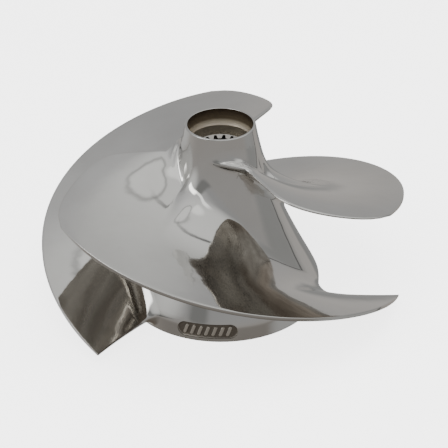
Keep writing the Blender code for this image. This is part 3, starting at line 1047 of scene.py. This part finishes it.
def machined_steel():
    """Turned steel with fine tool rings."""
    nodes = Nodes("machined_steel")
    nodes.set(Metallic=1.0)
    clouds = nodes.noise(300.0, 3.0)
    rings = nodes.noise(1800.0, 2.0, (0.03, 0.03, 1.0))
    metal = nodes.ramp(clouds, (0.3, (0.34, 0.325, 0.30)), (0.7, (0.44, 0.425, 0.40)))
    nodes.feed(metal, nodes.spread(clouds, 0.3, 0.7, 0.24, 0.38))
    nodes.bump((rings, 0.2, 0.0002))
    return nodes.material


def cast_steel():
    """Rough, dull casting skin."""
    nodes = Nodes("cast_steel")
    nodes.set(Metallic=1.0)
    grain = nodes.noise(1500.0, 4.0)
    clouds = nodes.noise(120.0, 3.0)
    metal = nodes.ramp(clouds, (0.3, (0.26, 0.25, 0.23)), (0.7, (0.38, 0.37, 0.35)))
    nodes.feed(metal, nodes.spread(grain, 0.3, 0.7, 0.45, 0.65))
    nodes.bump((grain, 0.5, 0.0003))
    return nodes.material


def badge_steel():
    """Dark cast floor, with marks and border rubbed bright on top."""
    nodes = Nodes("badge_steel")
    nodes.set(Metallic=1.0)
    flat = nodes.add("Mapping", Scale=(1.0, 1.0, 0.0))
    nodes.link(nodes.position, flat.inputs["Vector"])
    length = nodes.add("VectorMath")
    length.operation = "LENGTH"
    nodes.link(flat.outputs["Vector"], length.inputs[0])
    rise = nodes.spread(
        length.outputs["Value"],
        SKIRT_RADIUS - BADGE_FLOOR_DEPTH + 0.1 * MM,
        SKIRT_RADIUS - BADGE_MARK_DEPTH - 0.08 * MM,
    )
    grain = nodes.noise(2600.0, 3.0)
    metal = nodes.ramp(rise, (0.0, (0.21, 0.19, 0.165)), (1.0, (0.62, 0.59, 0.54)))
    nodes.feed(metal, nodes.spread(grain, 0.3, 0.7, 0.34, 0.52))
    nodes.bump((grain, 0.35, 0.0002))
    return nodes.material


def bronze():
    nodes = Nodes("bronze")
    nodes.set(Metallic=1.0)
    clouds = nodes.noise(350.0, 3.0)
    metal = nodes.ramp(clouds, (0.3, (0.42, 0.27, 0.12)), (0.7, (0.58, 0.40, 0.20)))
    nodes.feed(metal, nodes.spread(clouds, 0.3, 0.7, 0.28, 0.45))
    nodes.bump((nodes.noise(2400.0, 2.0), 0.15, 0.0002))
    return nodes.material


def rubber():
    nodes = Nodes("rubber")
    clouds = nodes.noise(500.0, 3.0)
    black = nodes.ramp(clouds, (0.3, (0.018, 0.018, 0.017)), (0.7, (0.035, 0.034, 0.032)))
    nodes.feed(black, nodes.spread(clouds, 0.3, 0.7, 0.5, 0.75))
    nodes.bump((nodes.noise(3000.0, 2.0), 0.25, 0.0001))
    return nodes.material


# Stage


def floor_material():
    """Pale and matt. It glows by itself, so that it stays white and nearly free of shadow."""
    nodes = Nodes("studio_floor")
    nodes.set(Roughness=0.9, Emission_Strength=3.4, Emission_Color=(1.0, 1.0, 1.0, 1.0))
    nodes.feed(nodes.ramp(nodes.noise(3.0), (0.3, 0.80), (0.7, 0.81)))
    return nodes.material


def make_floor():
    """A pale floor. The metal doesn't mirror it: it mirrors the dim room below the tent instead."""
    reach = 6.0
    corners = [(-reach, -reach, 0.0), (reach, -reach, 0.0), (reach, reach, 0.0), (-reach, reach, 0.0)]
    floor = new_piece("floor", corners, [(0, 1, 2, 3)], floor_material())
    floor.visible_glossy = False


def sky_ramp(tree, height, stops):
    """Brightness by the height of the direction, slightly warmer towards the ground."""
    spread = tree.nodes.new("ShaderNodeMapRange")
    spread.inputs["From Min"].default_value = -1.0
    spread.inputs["From Max"].default_value = 1.0
    ramp = tree.nodes.new("ShaderNodeValToRGB")
    ramp.color_ramp.interpolation = "EASE"
    while len(ramp.color_ramp.elements) < len(stops):
        ramp.color_ramp.elements.new(0.5)
    for element, (rise, level) in zip(ramp.color_ramp.elements, stops):
        warmth = max(0.0, 0.4 - rise) * 0.16
        element.position = (rise + 1.0) / 2
        element.color = (level, level * (1.0 - 0.5 * warmth), level * (1.0 - warmth), 1.0)
    tree.links.new(height, spread.inputs["Value"])
    tree.links.new(spread.outputs["Result"], ramp.inputs["Fac"])
    return ramp.outputs["Color"]


def bearing(azimuth, elevation):
    """Unit direction from the rotor. Azimuth 0 is the camera's side and 90 the right."""
    turn = math.radians(azimuth)
    lift = math.radians(elevation)
    return Vector((math.sin(turn) * math.cos(lift), -math.cos(turn) * math.cos(lift), math.sin(lift)))


def dot_with(tree, direction, vector):
    node = tree.nodes.new("ShaderNodeVectorMath")
    node.operation = "DOT_PRODUCT"
    node.inputs[1].default_value = vector
    tree.links.new(direction, node.inputs[0])
    return node.outputs["Value"]


def eased(tree, value, start, full):
    """0 at start and 1 at full, eased between them."""
    node = tree.nodes.new("ShaderNodeMapRange")
    node.interpolation_type = "SMOOTHSTEP"
    node.inputs["From Min"].default_value = start
    node.inputs["From Max"].default_value = full
    tree.links.new(value, node.inputs["Value"])
    return node.outputs["Result"]


def near(tree, direction, azimuth, elevation, inner, outer):
    """1 within inner degrees of a bearing, fading to 0 at outer degrees."""
    dot = dot_with(tree, direction, bearing(azimuth, elevation))
    return eased(tree, dot, math.cos(math.radians(outer)), math.cos(math.radians(inner)))


def patch(tree, colour, direction, azimuth, elevation, inner, outer, level):
    """A round patch of the surroundings."""
    return greyed(tree, colour, near(tree, direction, azimuth, elevation, inner, outer), level)


def bar(tree, colour, direction, azimuth, elevation, tilt, half_width, half_length, level):
    """A long patch of the surroundings. Tilt is its lean from upright towards growing azimuth."""
    up = bearing(azimuth, elevation + 90)
    sideways = bearing(azimuth + 90, 0.0)
    lean = math.radians(tilt)
    across = sideways * math.cos(lean) - up * math.sin(lean)
    size = tree.nodes.new("ShaderNodeMath")
    size.operation = "ABSOLUTE"
    tree.links.new(dot_with(tree, direction, across), size.inputs[0])
    width = math.sin(math.radians(half_width))
    full_width = 0.4 * width
    full_length = 0.6 * half_length
    product = tree.nodes.new("ShaderNodeMath")
    product.operation = "MULTIPLY"
    tree.links.new(eased(tree, size.outputs["Value"], width, full_width), product.inputs[0])
    length = near(tree, direction, azimuth, elevation, full_length, half_length)
    tree.links.new(length, product.inputs[1])
    return greyed(tree, colour, product.outputs["Value"], level)


def greyed(tree, colour, share, level):
    """A colour turned into a grey level by a share."""
    mix = tree.nodes.new("ShaderNodeMix")
    mix.data_type = "RGBA"
    mix.inputs["B"].default_value = (level, level, level * 0.98, 1.0)
    tree.links.new(share, mix.inputs["Factor"])
    tree.links.new(colour, mix.inputs["A"])
    return mix.outputs["Result"]


# Brightness of the tent's front and back by the height of the direction, from -1 down to 1 up.
FRONT_LEVELS = (
    (-1.0, 0.16),
    (-0.8, 0.20),
    (-0.57, 0.29),
    (-0.26, 0.44),
    (0.0, 0.46),
    (0.42, 0.45),
    (0.70, 0.62),
    (0.90, 0.92),
    (1.0, 1.0),
)
BACK_LEVELS = (
    (-1.0, 0.16),
    (-0.8, 0.25),
    (-0.57, 0.50),
    (-0.1, 0.58),
    (0.26, 0.54),
    (0.50, 0.54),
    (0.72, 0.62),
    (0.90, 0.70),
    (1.0, 0.95),
)

# Azimuth, elevation, inner and outer radius in degrees, level.
PATCHES = (
    (100, -3, 12, 30, 0.37),  # dim doorway on the right
    (90, -38, 12, 32, 0.50),  # table edge on the right
    (-130, -35, 12, 30, 0.70),  # pale table behind on the left
    (143, 54, 12, 28, 0.80),  # tent's back right, lit from outside
    (80, 60, 20, 48, 1.05),  # tent's roof on the right, lit from outside
    (-75, 26, 10, 34, 0.95),  # pale wall on the left
    (45, 63, 4, 11, 1.5),  # lamp behind the roof
    (110, 78, 12.5, 15, 0.58),  # frame of the roof's hatch
    (110, 78, 10.5, 13, 1.15),  # the hatch's light cloth
)

# Azimuth, elevation, tilt, half width and half length in degrees, level.
BARS = (
    (119, 0, 0, 2.0, 75, 0.16),  # upright seam of the tent
    (-28, 27, 0, 15.0, 26, 0.28),  # opening for the camera
    (161, -20, 90, 14.0, 18.5, 0.32),  # dark foot of the backdrop
    (-5, 52, 90, 5.0, 32, 1.9),  # light strip over the front
    (-62, 42, 48, 9.0, 26, 4.5),  # window on the left
)


def make_world():
    """What the metal mirrors: a light-grey tent with lighter and darker places in it."""
    world = bpy.data.worlds.new("studio")
    bpy.context.scene.world = world
    world.use_nodes = True
    tree = world.node_tree
    direction = tree.nodes.new("ShaderNodeTexCoord").outputs["Generated"]
    axes = tree.nodes.new("ShaderNodeSeparateXYZ")
    tree.links.new(direction, axes.inputs["Vector"])
    mix = tree.nodes.new("ShaderNodeMix")
    mix.data_type = "RGBA"
    tree.links.new(eased(tree, axes.outputs["Y"], -0.4, 0.5), mix.inputs["Factor"])
    tree.links.new(sky_ramp(tree, axes.outputs["Z"], FRONT_LEVELS), mix.inputs["A"])
    tree.links.new(sky_ramp(tree, axes.outputs["Z"], BACK_LEVELS), mix.inputs["B"])
    colour = mix.outputs["Result"]
    for shape in PATCHES:
        colour = patch(tree, colour, direction, *shape)
    for shape in BARS:
        colour = bar(tree, colour, direction, *shape)
    tree.links.new(colour, tree.nodes["Background"].inputs["Color"])


def make_light(name, azimuth, elevation, distance, size, power):
    """A soft box at a bearing from the rotor, aimed at its middle. The metal doesn't mirror it."""
    light = bpy.data.lights.new(name, "AREA")
    light.shape = "RECTANGLE"
    light.size, light.size_y = size
    light.energy = power
    obj = bpy.data.objects.new(name, light)
    bpy.context.scene.collection.objects.link(obj)
    way = bearing(azimuth, elevation)
    obj.location = Vector((0.0, 0.0, ROTOR_HEIGHT / 2)) + way * distance
    obj.rotation_euler = (-way).to_track_quat("-Z", "Y").to_euler()
    obj.visible_glossy = False


def make_camera():
    """Looks down on the rotor from the front at 31 degrees, with a long lens, leaning slightly."""
    elevation = math.radians(30.98)
    lean = math.radians(-0.69)
    distance = 0.8221
    aim = Vector((1.05 * MM, 0.0, 0.4 * ROTOR_HEIGHT))
    camera = bpy.data.cameras.new("camera")
    camera.sensor_width = 36.0
    camera.lens = 153.0
    camera.clip_start = 0.05
    camera.clip_end = 30.0
    obj = bpy.data.objects.new("camera", camera)
    bpy.context.scene.collection.objects.link(obj)
    obj.location = aim + Vector((0.0, -math.cos(elevation), math.sin(elevation))) * distance
    level = (aim - obj.location).to_track_quat("-Z", "Y").to_matrix()
    obj.rotation_euler = (level @ Matrix.Rotation(lean, 3, "Z")).to_euler()
    bpy.context.scene.camera = obj


make_camera()
make_floor()
make_world()
make_light("top_box", 10, 80, 1.3, (0.9, 0.9), 10.0)
make_light("right_box", 75, 35, 1.4, (0.5, 0.8), 5.0)

mirror = polished_steel()
make_nose_collar(mirror, bore_steel())
make_hub_cone(mirror)
make_aft_skirt(mirror)
make_badge(badge_steel())
for number in range(1, BLADE_COUNT + 1):
    make_blade(number, mirror)
turned_steel = machined_steel()
make_spline_sleeve(turned_steel)
make_thread_boss(turned_steel)
black_rubber = rubber()
make_drive_damper(black_rubber)
make_boss_o_ring(black_rubber)
make_thrust_washer(bronze())
rib_steel = cast_steel()
for number in range(1, BLADE_COUNT + 1):
    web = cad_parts[f"web_{number}"]
    web.data.materials.clear()
    web.data.materials.append(rib_steel)
